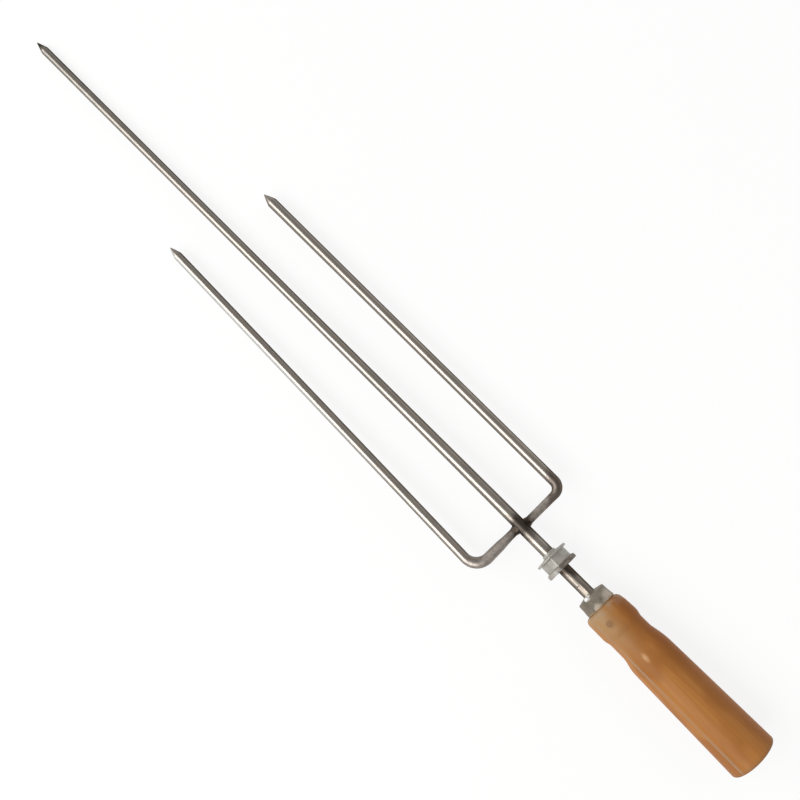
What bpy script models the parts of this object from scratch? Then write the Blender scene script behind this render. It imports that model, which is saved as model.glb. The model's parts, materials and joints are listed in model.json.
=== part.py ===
"""Three-tined roasting fork with a turning bearing spool and a turned wooden handle.

The shaft lies along X. Its butt is at x = 0, on the flat rear face of the handle, and its point
looks along +X. The three tines lie in the XY plane, the left one at +Y. All lengths are metres.
"""

import math

import bpy
from mathutils import Vector

# Gaps between pieces
SEAT_GAP = 0.0003  # between pieces that touch on the real fork
RUNNING_GAP = 0.00025  # round the shaft in the spool's bore

# Shaft, whose front end is the middle tine
SHAFT_DIAMETER = 0.0085
SHAFT_FRONT_DIAMETER = 0.0074  # the middle tine is drawn down in front of the arms
SHAFT_TAPER_START = 0.020  # in front of the arms
SHAFT_TAPER_LENGTH = 0.220
SHAFT_POINT_LENGTH = 0.0135
MIDDLE_TINE_LENGTH = 0.6104  # from the arms to the point
TANG_LENGTH = 0.070  # inside the handle
TANG_CHAMFER = 0.0012
POINT_TIP_RADIUS = 0.0004

# Side tines
LEFT_TINE_DIAMETER = 0.0070
RIGHT_TINE_DIAMETER = 0.0076
ARM_DIAMETER = 0.0056  # drawn down towards the weld
TINE_POINT_LENGTH = 0.0105
LEFT_TINE_LENGTH = 0.3514  # from the arms to the point
LEFT_REACH = 0.0419  # from the shaft's axis
LEFT_BEND_RADIUS = 0.0112
LEFT_SPLAY = math.radians(-0.1)  # away from the shaft towards the point
RIGHT_TINE_LENGTH = 0.3239
RIGHT_REACH = 0.0369
RIGHT_BEND_RADIUS = 0.0068
RIGHT_SPLAY = math.radians(0.95)

# Weld beads round the arms
BEAD_WIDTH = 0.0013  # beyond the arm's radius, at the shaft
BEAD_LENGTH = 0.0032  # along the arm, from the shaft's side
BEAD_TOE = 0.0004  # thickness where the bead runs out on the arm
BEAD_BELLY_WIDTH = 0.35  # share of the width left at the belly, as the bead is hollow
BEAD_BELLY_PLACE = 0.45  # share of the length at which the belly lies

# Bearing spool
SPOOL_LENGTH = 0.0125
HUB_DIAMETER = 0.0196
FRONT_FLANGE_HEIGHT = 0.00235  # above the hub
REAR_FLANGE_HEIGHT = 0.0019
FRONT_FLANGE_THICKNESS = 0.0024
REAR_FLANGE_THICKNESS = 0.0027
REAR_FLANGE_SLOPE = 0.0009  # the rear flange is this much thicker at the hub
FRONT_CONE_HEIGHT = 0.0009
SPOOL_LIP_LENGTH = 0.0014  # cast lip round the shaft, on the front cone
SPOOL_LIP_WALL = 0.0005
SPOOL_EDGE_ROUND = 0.0005
GROOVE_WIDTH = 0.0050  # in the shaft, under the spool
GROOVE_DEPTH = 0.0010

# Ferrule
FERRULE_LENGTH = 0.0091
FERRULE_FRONT_DIAMETER = 0.0209
FERRULE_REAR_DIAMETER = 0.0218
FERRULE_CONE_HEIGHT = 0.0014
FERRULE_WALL = 0.0021
FERRULE_FRONT_WALL = 0.0031
FERRULE_EDGE_ROUND = 0.0008

# Handle
HANDLE_LENGTH = 0.1182
BUTT_DIAMETER = 0.0330
BUTT_EDGE_ROUND = 0.0020
SHOULDER_DIAMETER = 0.0308
SHOULDER_TO_WAIST = 0.0087
WAIST_DIAMETER = 0.0268
WAIST_LENGTH = 0.0110
WAIST_TO_HEAD = 0.0044
HEAD_DIAMETER = 0.0289
HEAD_LENGTH = 0.0166
HEAD_EDGE_ROUND = 0.0035

# Cross pin through the head of the handle and the tang
PIN_DIAMETER = 0.0026
PIN_BEHIND_HEAD_FRONT = 0.0100
PIN_LEAN = math.radians(17.0)  # from straight up, towards the left tine
PIN_SINK = 0.0004  # below the surface of the wood
PIN_BEYOND_TANG = 0.0045
PIN_POINT_LENGTH = 0.0020

# Spacing along the shaft
HANDLE_TO_SPOOL = 0.0232  # bare shaft between the ferrule's rim and the spool
SPOOL_TO_ARMS = 0.0263
ARM_STAGGER = 0.0016  # the right arm stands this much nearer the handle

# Fineness of the round shapes
ROUND_STEPS = 48
EDGE_STEPS = 4
BEND_STEPS = 9
RAMP_STEPS = 6
TUBE_RESOLUTION = 8  # gives 20 sides

# Stations along the shaft, measured from the butt
HANDLE_FRONT = HANDLE_LENGTH
FERRULE_REAR = HANDLE_FRONT + SEAT_GAP
FERRULE_RIM = FERRULE_REAR + FERRULE_LENGTH
SPOOL_REAR = FERRULE_RIM + HANDLE_TO_SPOOL
SPOOL_MIDDLE = SPOOL_REAR + SPOOL_LENGTH / 2
ARMS_STATION = SPOOL_REAR + SPOOL_LENGTH + SPOOL_TO_ARMS
SHAFT_REAR = HANDLE_FRONT - TANG_LENGTH
PIN_STATION = HANDLE_FRONT - PIN_BEHIND_HEAD_FRONT
HEAD_REAR = HANDLE_FRONT - HEAD_LENGTH
WAIST_FRONT = HEAD_REAR - WAIST_TO_HEAD
WAIST_REAR = WAIST_FRONT - WAIST_LENGTH
SHOULDER_STATION = WAIST_REAR - SHOULDER_TO_WAIST
SHAFT_FRONT = ARMS_STATION + MIDDLE_TINE_LENGTH

SHAFT_RADIUS = SHAFT_DIAMETER / 2
SHAFT_FRONT_RADIUS = SHAFT_FRONT_DIAMETER / 2
GROOVE_RADIUS = SHAFT_RADIUS - GROOVE_DEPTH
ARM_RADIUS = ARM_DIAMETER / 2
PIN_RADIUS = PIN_DIAMETER / 2
FERRULE_INSIDE_RADIUS = FERRULE_REAR_DIAMETER / 2 - FERRULE_WALL
SPIGOT_LENGTH = FERRULE_LENGTH - FERRULE_FRONT_WALL

LEFT, RIGHT = 1, -1
ALONG_SHAFT = (0.0, math.pi / 2, 0.0)  # turns a shape's own Z axis to the shaft's +X


def clear_scene():
    """Empties the file, so that only the fork is in it."""
    for old in list(bpy.data.objects):
        bpy.data.objects.remove(old, do_unlink=True)


def new_collection(name):
    made = bpy.data.collections.new(name)
    bpy.context.scene.collection.children.link(made)
    return made


def finish_material(name, colour, metallic, roughness):
    """A plain Principled material for one finish."""
    made = bpy.data.materials.new(name)
    made.use_nodes = True
    shader = made.node_tree.nodes["Principled BSDF"]
    shader.inputs["Base Color"].default_value = (*colour, 1.0)
    shader.inputs["Metallic"].default_value = metallic
    shader.inputs["Roughness"].default_value = roughness
    return made


def place(obj, collection, material, parent):
    collection.objects.link(obj)
    obj.data.materials.append(material)
    obj.parent = parent
    return obj


def corner_arc(centre, radius, start, end, steps=EDGE_STEPS):
    """Points of a round edge on an outline of (radius, height), from one angle to another in degrees."""
    angles = [math.radians(start + (end - start) * i / steps) for i in range(steps + 1)]
    return [
        (centre[0] + radius * math.cos(angle), centre[1] + radius * math.sin(angle))
        for angle in angles
    ]


def cone_end_angle(height, run):
    """Where a round edge starts on its arc, in degrees, to carry on from a cone of that height and run."""
    return 90 - math.degrees(math.atan2(height, run))


def ramp(start, end, steps=RAMP_STEPS):
    """Points of a smooth S between two points of an outline, which leaves and arrives along the axis."""
    points = []
    for i in range(steps + 1):
        share = i / steps
        eased = share * share * (3 - 2 * share)
        points.append((
            start[0] + (end[0] - start[0]) * eased,
            start[1] + (end[1] - start[1]) * share,
        ))
    return points


def turned(name, outline, location, rotation=ALONG_SHAFT, closed=False):
    """A turned solid. The outline is (radius, height) points, down the outer side from the top.

    An outline that starts and ends on the axis makes a solid piece, and a closed one a bored piece.
    """
    mesh = bpy.data.meshes.new(name)
    count = len(outline)
    edges = [(i, i + 1) for i in range(count - 1)]
    if closed:
        edges.append((count - 1, 0))
    mesh.from_pydata([(radius, 0.0, height) for radius, height in outline], edges, [])
    obj = bpy.data.objects.new(name, mesh)
    obj.location = location
    obj.rotation_euler = rotation
    screw = obj.modifiers.new("turn", "SCREW")
    screw.axis = "Z"
    screw.steps = ROUND_STEPS
    screw.render_steps = ROUND_STEPS
    screw.use_merge_vertices = True
    screw.merge_threshold = 0.000001
    return obj


def cut(obj, cutter):
    """Takes the cutter's shape out of the object."""
    boolean = obj.modifiers.new(cutter.name, "BOOLEAN")
    boolean.operation = "DIFFERENCE"
    boolean.solver = "EXACT"
    boolean.object = cutter


def hide_cutter(cutter, collection, parent):
    collection.objects.link(cutter)
    cutter.parent = parent
    cutter.hide_render = True
    cutter.display_type = "WIRE"
    return cutter


def make_shaft():
    """The rod from the tang's end to the middle tine's point, with the groove that the spool turns in."""
    groove_front = SPOOL_MIDDLE + GROOVE_WIDTH / 2
    groove_rear = SPOOL_MIDDLE - GROOVE_WIDTH / 2
    taper_start = ARMS_STATION + SHAFT_TAPER_START
    outline = [
        (0.0, SHAFT_FRONT),
        (POINT_TIP_RADIUS, SHAFT_FRONT - POINT_TIP_RADIUS),
        (SHAFT_FRONT_RADIUS, SHAFT_FRONT - SHAFT_POINT_LENGTH),
        (SHAFT_FRONT_RADIUS, taper_start + SHAFT_TAPER_LENGTH),
        (SHAFT_RADIUS, taper_start),
        (SHAFT_RADIUS, groove_front),
        (GROOVE_RADIUS, groove_front),
        (GROOVE_RADIUS, groove_rear),
        (SHAFT_RADIUS, groove_rear),
        (SHAFT_RADIUS, SHAFT_REAR + TANG_CHAMFER),
        (SHAFT_RADIUS - TANG_CHAMFER, SHAFT_REAR),
        (0.0, SHAFT_REAR),
    ]
    return turned("shaft", outline, (0.0, 0.0, 0.0))


def arm_station(side):
    return ARMS_STATION - (ARM_STAGGER if side == RIGHT else 0.0)


def tine_path(side, length, radius, reach, bend_radius, splay):
    """(point, radius) along a side tine: out along the arm, round the bend and on to the point."""
    station = arm_station(side)
    arm_end = reach - bend_radius * math.cos(splay)
    path = [(Vector((station, side * (SHAFT_RADIUS + SEAT_GAP), 0.0)), ARM_RADIUS)]
    turn = math.pi / 2 - splay
    for i in range(BEND_STEPS + 1):
        angle = turn * i / BEND_STEPS
        across = arm_end + bend_radius * math.sin(angle)
        along = station + bend_radius * (1 - math.cos(angle))
        thickness = ARM_RADIUS + (radius - ARM_RADIUS) * i / BEND_STEPS
        path.append((Vector((along, side * across, 0.0)), thickness))
    heading = Vector((math.cos(splay), side * math.sin(splay), 0.0))
    bend_end = path[-1][0]
    run = (ARMS_STATION + length - bend_end.x) / heading.x
    path.append((bend_end + heading * (run - TINE_POINT_LENGTH), radius))
    path.append((bend_end + heading * run, POINT_TIP_RADIUS))
    return path


def make_tine(name, side, length, diameter, reach, bend_radius, splay):
    """A side tine: a rod bent to an L, as a tube along its path."""
    radius = diameter / 2
    path = tine_path(side, length, radius, reach, bend_radius, splay)
    curve = bpy.data.curves.new(name, "CURVE")
    curve.dimensions = "3D"
    curve.bevel_depth = radius
    curve.bevel_resolution = TUBE_RESOLUTION
    curve.use_fill_caps = True
    spline = curve.splines.new("POLY")
    spline.points.add(len(path) - 1)
    for point, (place_on_path, thickness) in zip(spline.points, path):
        point.co = (*place_on_path, 1.0)
        point.radius = thickness / radius
    return bpy.data.objects.new(name, curve)


def make_weld(name, side, shaft_cutter):
    """A weld bead: a short collar round the arm, shaped to the side of the shaft."""
    inner = ARM_RADIUS + SEAT_GAP
    foot = inner + BEAD_WIDTH
    toe = inner + BEAD_TOE
    seat = SHAFT_RADIUS + SEAT_GAP
    belly = toe + (foot - toe) * BEAD_BELLY_WIDTH
    outline = [
        (toe, seat + BEAD_LENGTH),
        (belly, seat + BEAD_LENGTH * BEAD_BELLY_PLACE),
        (foot, seat),
        (foot, SEAT_GAP),
        (inner, SEAT_GAP),
        (inner, seat + BEAD_LENGTH),
    ]
    rotation = (-side * math.pi / 2, 0.0, 0.0)
    bead = turned(name, outline, (arm_station(side), 0.0, 0.0), rotation, closed=True)
    cut(bead, shaft_cutter)
    return bead


def make_shaft_cutter():
    """The space that the shaft needs where the weld beads sit on it."""
    radius = SHAFT_RADIUS + SEAT_GAP
    reach = ARM_RADIUS + BEAD_WIDTH + SHAFT_DIAMETER
    outline = [(0.0, reach), (radius, reach), (radius, -reach), (0.0, -reach)]
    middle = ARMS_STATION - ARM_STAGGER / 2
    return turned("shaft_space", outline, (middle, 0.0, 0.0))


def make_spool():
    """The cast collar: two flanges with a hub between, and a rib inside that runs in the shaft's groove."""
    half = SPOOL_LENGTH / 2
    bore = SHAFT_RADIUS + RUNNING_GAP
    hub = HUB_DIAMETER / 2
    front_radius = hub + FRONT_FLANGE_HEIGHT
    rear_radius = hub + REAR_FLANGE_HEIGHT
    lip = bore + SPOOL_LIP_WALL
    edge = SPOOL_EDGE_ROUND
    rim_front = half - FRONT_CONE_HEIGHT
    rim_rear = half - FRONT_FLANGE_THICKNESS
    slope_foot = -half + REAR_FLANGE_THICKNESS + REAR_FLANGE_SLOPE
    slope_top = -half + REAR_FLANGE_THICKNESS
    rib_half = GROOVE_WIDTH / 2 - RUNNING_GAP
    rib_radius = GROOVE_RADIUS + RUNNING_GAP
    cone_end = cone_end_angle(FRONT_CONE_HEIGHT, front_radius - lip)
    outline = [(bore, half + SPOOL_LIP_LENGTH), (lip, half + SPOOL_LIP_LENGTH), (lip, half)]
    outline += corner_arc((front_radius - edge, rim_front - edge), edge, cone_end, 0)
    outline += [(front_radius, rim_rear), (hub, rim_rear), (hub, slope_foot)]
    outline += [(rear_radius, slope_top)]
    outline += corner_arc((rear_radius - edge, -half + edge), edge, 0, -90)
    outline += [
        (bore, -half),
        (bore, -rib_half),
        (rib_radius, -rib_half),
        (rib_radius, rib_half),
        (bore, rib_half),
    ]
    return turned("bearing_spool", outline, (SPOOL_MIDDLE, 0.0, 0.0), closed=True)


def make_ferrule():
    """The cast cap over the handle's spigot, with a low cone round the shaft."""
    bore = SHAFT_RADIUS + SEAT_GAP
    front = FERRULE_FRONT_DIAMETER / 2
    rear = FERRULE_REAR_DIAMETER / 2
    inside = FERRULE_INSIDE_RADIUS
    edge = FERRULE_EDGE_ROUND
    cone_end = cone_end_angle(FERRULE_CONE_HEIGHT, front - bore)
    outline = [(bore, FERRULE_LENGTH + FERRULE_CONE_HEIGHT)]
    outline += corner_arc((front - edge, FERRULE_LENGTH - edge), edge, cone_end, 0)
    outline += [(rear, 0.0), (inside, 0.0), (inside, SPIGOT_LENGTH), (bore, SPIGOT_LENGTH)]
    return turned("ferrule", outline, (FERRULE_REAR, 0.0, 0.0), closed=True)


def make_handle():
    """The turned grip: long body, shoulder, waist and head, with a spigot in front and a blind bore."""
    bore = SHAFT_RADIUS + SEAT_GAP
    bore_end = SHAFT_REAR - SEAT_GAP
    spigot = FERRULE_INSIDE_RADIUS - SEAT_GAP
    head, waist = HEAD_DIAMETER / 2, WAIST_DIAMETER / 2
    shoulder, butt = SHOULDER_DIAMETER / 2, BUTT_DIAMETER / 2
    head_round = min(HEAD_EDGE_ROUND, head - FERRULE_REAR_DIAMETER / 2)
    head_centre = (head - head_round, HANDLE_FRONT - head_round)
    butt_centre = (butt - BUTT_EDGE_ROUND, BUTT_EDGE_ROUND)
    outline = [
        (0.0, bore_end),
        (bore, bore_end),
        (bore, HANDLE_FRONT + SPIGOT_LENGTH),
        (spigot, HANDLE_FRONT + SPIGOT_LENGTH),
        (spigot, HANDLE_FRONT),
    ]
    outline += corner_arc(head_centre, head_round, 90, 0)
    outline += ramp((head, HEAD_REAR), (waist, WAIST_FRONT))
    outline += ramp((waist, WAIST_REAR), (shoulder, SHOULDER_STATION))
    outline += corner_arc(butt_centre, BUTT_EDGE_ROUND, 0, -90)
    outline += [(0.0, 0.0)]
    return turned("handle", outline, (0.0, 0.0, 0.0))


def pin_rotation():
    return (-PIN_LEAN, 0.0, 0.0)


def make_pin():
    """The driven cross pin, which locks the tang in the handle."""
    top = HEAD_DIAMETER / 2 - PIN_SINK
    bottom = -SHAFT_RADIUS - PIN_BEYOND_TANG
    outline = [
        (0.0, top),
        (PIN_RADIUS, top),
        (PIN_RADIUS, bottom + PIN_POINT_LENGTH),
        (0.0, bottom),
    ]
    return turned("handle_pin", outline, (PIN_STATION, 0.0, 0.0), pin_rotation())


def make_pin_cutter():
    """The pin's blind hole through the wood and the tang."""
    radius = PIN_RADIUS + SEAT_GAP
    top = HEAD_DIAMETER
    bottom = -SHAFT_RADIUS - PIN_BEYOND_TANG - SEAT_GAP
    outline = [(0.0, top), (radius, top), (radius, bottom), (0.0, bottom)]
    return turned("pin_hole", outline, (PIN_STATION, 0.0, 0.0), pin_rotation())


def main():
    clear_scene()
    parts = new_collection("roasting_fork")
    cutters = new_collection("cutters")
    root = bpy.data.objects.new("fork_axis", None)
    parts.objects.link(root)

    steel = finish_material("stainless_steel", (0.46, 0.43, 0.39), 1.0, 0.22)
    burnt_steel = finish_material("heat_stained_steel", (0.16, 0.13, 0.10), 1.0, 0.45)
    cast = finish_material("cast_aluminium", (0.52, 0.50, 0.47), 1.0, 0.48)
    wood = finish_material("lacquered_wood", (0.47, 0.22, 0.08), 0.0, 0.35)
    dark_steel = finish_material("pin_steel", (0.12, 0.10, 0.09), 1.0, 0.5)

    pin_hole = hide_cutter(make_pin_cutter(), cutters, root)
    shaft_space = hide_cutter(make_shaft_cutter(), cutters, root)

    shaft = place(make_shaft(), parts, steel, root)
    cut(shaft, pin_hole)
    left = make_tine(
        "left_tine",
        LEFT,
        LEFT_TINE_LENGTH,
        LEFT_TINE_DIAMETER,
        LEFT_REACH,
        LEFT_BEND_RADIUS,
        LEFT_SPLAY,
    )
    right = make_tine(
        "right_tine",
        RIGHT,
        RIGHT_TINE_LENGTH,
        RIGHT_TINE_DIAMETER,
        RIGHT_REACH,
        RIGHT_BEND_RADIUS,
        RIGHT_SPLAY,
    )
    place(left, parts, steel, root)
    place(right, parts, steel, root)
    place(make_weld("left_weld", LEFT, shaft_space), parts, burnt_steel, root)
    place(make_weld("right_weld", RIGHT, shaft_space), parts, burnt_steel, root)
    place(make_spool(), parts, cast, root)
    place(make_ferrule(), parts, cast, root)
    handle = place(make_handle(), parts, wood, root)
    cut(handle, pin_hole)
    place(make_pin(), parts, dark_steel, root)


main()
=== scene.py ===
# %% [markdown]
# # A three-tined roasting fork on its CAD frame
# The fork lies along X with its points toward +X. The CAD model gives every piece its place and its size.
# This lesson dresses it: each CAD node gets a finer piece in the same place, with a procedural finish.
# The first step loads that frame, and reads the boxes of its parts, which place the finished pieces.

# %% Load the frame
import json
from math import atan2, cos, degrees, pi, radians, sin, tan

import bmesh
import bpy
from mathutils import Matrix, Vector, noise


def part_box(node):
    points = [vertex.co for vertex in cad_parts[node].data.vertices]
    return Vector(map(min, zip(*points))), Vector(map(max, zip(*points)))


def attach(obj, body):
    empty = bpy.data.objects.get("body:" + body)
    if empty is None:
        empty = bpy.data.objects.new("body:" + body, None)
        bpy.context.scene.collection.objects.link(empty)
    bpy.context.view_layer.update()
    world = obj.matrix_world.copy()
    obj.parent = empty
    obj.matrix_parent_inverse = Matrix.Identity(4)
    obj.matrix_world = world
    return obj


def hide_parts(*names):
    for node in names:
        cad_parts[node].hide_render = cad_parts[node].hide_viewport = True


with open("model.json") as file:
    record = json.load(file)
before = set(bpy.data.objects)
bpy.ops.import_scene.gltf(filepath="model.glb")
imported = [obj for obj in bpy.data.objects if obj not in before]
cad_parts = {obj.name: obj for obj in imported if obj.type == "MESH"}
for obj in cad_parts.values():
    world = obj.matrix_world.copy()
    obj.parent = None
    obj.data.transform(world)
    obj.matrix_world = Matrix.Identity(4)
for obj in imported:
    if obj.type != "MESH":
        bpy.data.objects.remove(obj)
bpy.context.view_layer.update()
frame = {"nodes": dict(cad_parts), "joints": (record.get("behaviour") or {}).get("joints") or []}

MM = 0.001

# %% [markdown]
# ## Camera
# A fork 0.8 m long is seen from only half a metre above, so the near handle looks thick and the far point
# thin. A long lens would lose that, so the camera stands close, above the handle's front, and leans toward
# the points. It is also rolled, which lays the fork from corner to corner. Its three axes make one matrix.

# %% Place the camera
CAMERA_STATION = 0.148
CAMERA_SIDE = -0.0025
CAMERA_HEIGHT = 0.512
CAMERA_LEAN = radians(17.7)
CAMERA_ROLL = radians(45.13)
CAMERA_LENS = 33.75
CAMERA_SENSOR = 36.0

toward = Vector((sin(CAMERA_LEAN), 0.0, -cos(CAMERA_LEAN)))
tip_up = Vector((cos(CAMERA_LEAN), 0.0, sin(CAMERA_LEAN)))
level = toward.cross(tip_up)
right = level * cos(CAMERA_ROLL) - tip_up * sin(CAMERA_ROLL)
up = level * sin(CAMERA_ROLL) + tip_up * cos(CAMERA_ROLL)

camera_data = bpy.data.cameras.new("camera")
camera_data.lens = CAMERA_LENS
camera_data.sensor_width = CAMERA_SENSOR
camera_data.clip_start = 0.02
camera = bpy.data.objects.new("camera", camera_data)
camera.matrix_world = Matrix((right, up, -toward)).transposed().to_4x4()
camera.location = (CAMERA_STATION, CAMERA_SIDE, CAMERA_HEIGHT)
bpy.context.scene.collection.objects.link(camera)
bpy.context.scene.camera = camera
print("camera leans", round(degrees(toward.angle(Vector((0, 0, -1)))), 1), "degrees from straight down")

# %% [markdown]
# ## Node helpers
# Every finish below is a small graph of nodes. These helpers add a node and set or link its sockets. On top
# of that come short names for what is used most: the sums times, plus and minus, a soft step from 0 to 1,
# and a blend of two colours. A number that is the same all over a surface goes straight on the shader.

# %% Add nodes and do sums with them
def add(tree, kind, sockets=None, **settings):
    """Adds a shader node, sets its settings, and links or sets its sockets."""
    node = tree.nodes.new("ShaderNode" + kind)
    for name, value in settings.items():
        setattr(node, name, value)
    for name, value in (sockets or {}).items():
        if isinstance(value, bpy.types.NodeSocket):
            tree.links.new(value, node.inputs[name])
        else:
            node.inputs[name].default_value = value
    return node


def calc(tree, operation, first, second=0.0):
    return add(tree, "Math", {0: first, 1: second}, operation=operation).outputs[0]


def times(tree, first, second):
    return calc(tree, "MULTIPLY", first, second)


def plus(tree, first, second):
    return calc(tree, "ADD", first, second)


def minus(tree, first, second):
    return calc(tree, "SUBTRACT", first, second)


def rest_of(tree, share):
    """What a share from 0 to 1 leaves of 1."""
    return minus(tree, 1.0, share)


def step(tree, value, low, high):
    """0 at low and 1 at high, with a soft rise between, also when low is the larger."""
    sockets = {"Value": value, "From Min": low, "From Max": high}
    return add(tree, "MapRange", sockets, interpolation_type="SMOOTHSTEP").outputs[0]


def distance_to(tree, place, point):
    sockets = {0: place, 1: point}
    return add(tree, "VectorMath", sockets, operation="DISTANCE").outputs["Value"]


# %% Mix colours, scatter spots and raise bumps
def blend(tree, share, first, second, way="MIX"):
    """The second colour laid over the first, as far as share says."""
    sockets = {0: share, 6: first, 7: second}
    return add(tree, "Mix", sockets, data_type="RGBA", blend_type=way).outputs[2]


def tinted(tree, colour, tint):
    return blend(tree, 1.0, colour, tint, "MULTIPLY")


def spots(tree, place, scale, stretch=(1, 1, 1), detail=3.0, roughness=0.55):
    """Noise about 0.5, stretched along an axis by a small number in stretch."""
    mapped = add(tree, "Mapping", {"Vector": place, "Scale": stretch}).outputs[0]
    sockets = {"Vector": mapped, "Scale": scale, "Detail": detail, "Roughness": roughness}
    return add(tree, "TexNoise", sockets).outputs["Fac"]


def bumps(tree, height, distance, strength, under=None):
    """A bump, laid over another one where under is given."""
    sockets = {"Height": height, "Distance": distance, "Strength": strength}
    if under is not None:
        sockets["Normal"] = under
    return add(tree, "Bump", sockets).outputs[0]


# %% Start and feed a finish
def new_finish(name, **values):
    """A material with its Principled shader, the object's own coordinates and their three numbers."""
    material = bpy.data.materials.new(name)
    material.use_nodes = True
    tree = material.node_tree
    shader = tree.nodes["Principled BSDF"]
    for socket, value in values.items():
        shader.inputs[socket.replace("_", " ")].default_value = value
    place = add(tree, "TexCoord").outputs["Object"]
    split = add(tree, "SeparateXYZ", {0: place}).outputs
    return material, tree, shader, place, split


def feed(tree, shader, **sockets):
    for name, value in sockets.items():
        tree.links.new(value, shader.inputs[name.replace("_", " ")])


# %% [markdown]
# ## Where things are
# The stations along the fork come from the CAD model: where the arms stand, the spool's middle, the ends of
# the ferrule and the grip, and the shaft's radius. The rest of the script builds on these names.

# %% Measure the frame
shaft_low, shaft_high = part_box("shaft")
ferrule_low, ferrule_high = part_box("ferrule")
handle_low, handle_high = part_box("handle")
SHAFT_RADIUS = (shaft_high.z - shaft_low.z) / 2
SPOOL_STATION = frame["joints"][0]["pos_m"][0]


def middle_of(node):
    low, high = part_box(node)
    return (low + high) / 2


def corners_near(node, station, reach):
    """The corners of a CAD node whose stations along the fork are within reach of this one."""
    return [v.co for v in frame["nodes"][node].data.vertices if abs(v.co.x - station) < reach]


LEFT_ARM = middle_of("left_weld").x
RIGHT_ARM = middle_of("right_weld").x
CROSSING = (LEFT_ARM + RIGHT_ARM) / 2
POINT_LENGTH = 13.5 * MM
point_shoulder = corners_near("shaft", shaft_high.x - POINT_LENGTH, 1.0 * MM)
SHAFT_FRONT_RADIUS = max(corner.z for corner in point_shoulder)
print(f"shaft {2 * SHAFT_RADIUS / MM:.1f} mm, {2 * SHAFT_FRONT_RADIUS / MM:.1f} mm at the point")
print(f"arms at {LEFT_ARM:.4f} and {RIGHT_ARM:.4f}, spool at {SPOOL_STATION:.5f}")

# %% [markdown]
# ## Floor
# The fork lies on its butt and on the point of its long tine, and the butt is the thicker of the two, so the
# floor falls slightly from one to the other when the fork is held level. A grid gives it a fold under each
# end, and it runs level beyond them. It is nearly white paper. Seen by the camera and in the metal, most of
# it is plain white, which evens out the light across it, and the rest keeps a faint shadow of the fork.

# %% Lay the floor
FLOOR_REACH = 6.0
FLOOR_GAP = 0.05 * MM
PLAIN_WHITE_SHARE = 0.85
PAPER = (0.9, 0.9, 0.89, 1)
WHITE = (1, 1, 1, 1)
point_rest = Vector((shaft_high.x - POINT_LENGTH, 0.0, -SHAFT_FRONT_RADIUS))


def make_floor():
    """A grid of three strips, folded under the butt and under the long point."""
    bm = bmesh.new()
    bmesh.ops.create_grid(bm, x_segments=3, y_segments=1, size=FLOOR_REACH)
    folds = sorted({round(v.co.x, 5) for v in bm.verts})
    for v in bm.verts:
        fold = folds.index(round(v.co.x, 5))
        v.co.z = (handle_low.z if fold < 2 else point_rest.z) - FLOOR_GAP
        if fold in (1, 2):
            v.co.x = (handle_low.x, point_rest.x)[fold - 1]
    mesh = bpy.data.meshes.new("floor")
    bm.to_mesh(mesh)
    bm.free()
    floor = bpy.data.objects.new("floor", mesh)
    bpy.context.scene.collection.objects.link(floor)
    return floor


def make_paper():
    """White to the camera and in reflections for the larger share, lit paper for the rest."""
    material = bpy.data.materials.new("floor_paper")
    material.use_nodes = True
    tree = material.node_tree
    tree.nodes.clear()
    seen = add(tree, "LightPath").outputs
    looked_at = calc(tree, "MAXIMUM", seen["Is Camera Ray"], seen["Is Glossy Ray"])
    looked_at = calc(tree, "MAXIMUM", looked_at, seen["Is Transmission Ray"])
    share = times(tree, looked_at, PLAIN_WHITE_SHARE)
    paper = add(tree, "BsdfDiffuse", {"Color": PAPER}).outputs[0]
    white = add(tree, "Emission", {"Color": WHITE, "Strength": 1.0}).outputs[0]
    both = add(tree, "MixShader", {0: share, 1: paper, 2: white}).outputs[0]
    add(tree, "OutputMaterial", {"Surface": both})
    return material


floor = make_floor()
floor.data.materials.append(make_paper())
print("floor from z", round(handle_low.z / MM, 1), "to", round(point_rest.z / MM, 1), "mm")

# %% [markdown]
# ## Light
# A polished rod is a mirror that squeezes the whole room into its width, so the room makes its look. A long
# softbox beside the fork draws a soft bright line along every rod, a third of the way in from the left. The
# dim sky over it keeps the rest of the rod dark, and turns paler toward the horizon. A wide weak panel on the
# other side lifts the shaded side of the grip, and is kept out of the metal's reflections.

# %% Hang the softboxes and a dim sky
HORIZON = (0.8, 0.8, 0.8, 1)
OVERHEAD = (0.31, 0.305, 0.30, 1)
HORIZON_HEIGHT = 0.6


def make_softbox(name, lean, away, middle, length, width, watts):
    """A long lamp along X, turned about the fork's axis by lean toward +Y."""
    data = bpy.data.lights.new(name, "AREA")
    data.shape = "RECTANGLE"
    data.size = length
    data.size_y = width
    data.energy = watts
    lamp = bpy.data.objects.new(name, data)
    lamp.rotation_euler = (-lean, 0.0, 0.0)
    lamp.location = (middle, away * sin(lean), away * cos(lean))
    lamp.visible_camera = False
    bpy.context.scene.collection.objects.link(lamp)
    return lamp


def make_sky():
    """A pale horizon under a dim sky."""
    world = bpy.data.worlds.new("room")
    world.use_nodes = True
    tree = world.node_tree
    tree.nodes.clear()
    ray = add(tree, "TexCoord").outputs["Generated"]
    height = add(tree, "SeparateXYZ", {0: ray}).outputs["Z"]
    colour = blend(tree, step(tree, height, 0.0, HORIZON_HEIGHT), HORIZON, OVERHEAD)
    back = add(tree, "Background", {"Color": colour, "Strength": 1.0}).outputs[0]
    add(tree, "OutputWorld", {"Surface": back})
    bpy.context.scene.world = world


make_softbox("softbox", lean=radians(41), away=1.6, middle=1.15, length=3.7, width=1.0, watts=41.0)
fill = make_softbox("fill", lean=radians(-56), away=1.8, middle=0.5, length=3.2, width=1.6, watts=12.0)
fill.visible_glossy = False
make_sky()
bpy.context.scene.view_settings.view_transform = "Standard"
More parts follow.
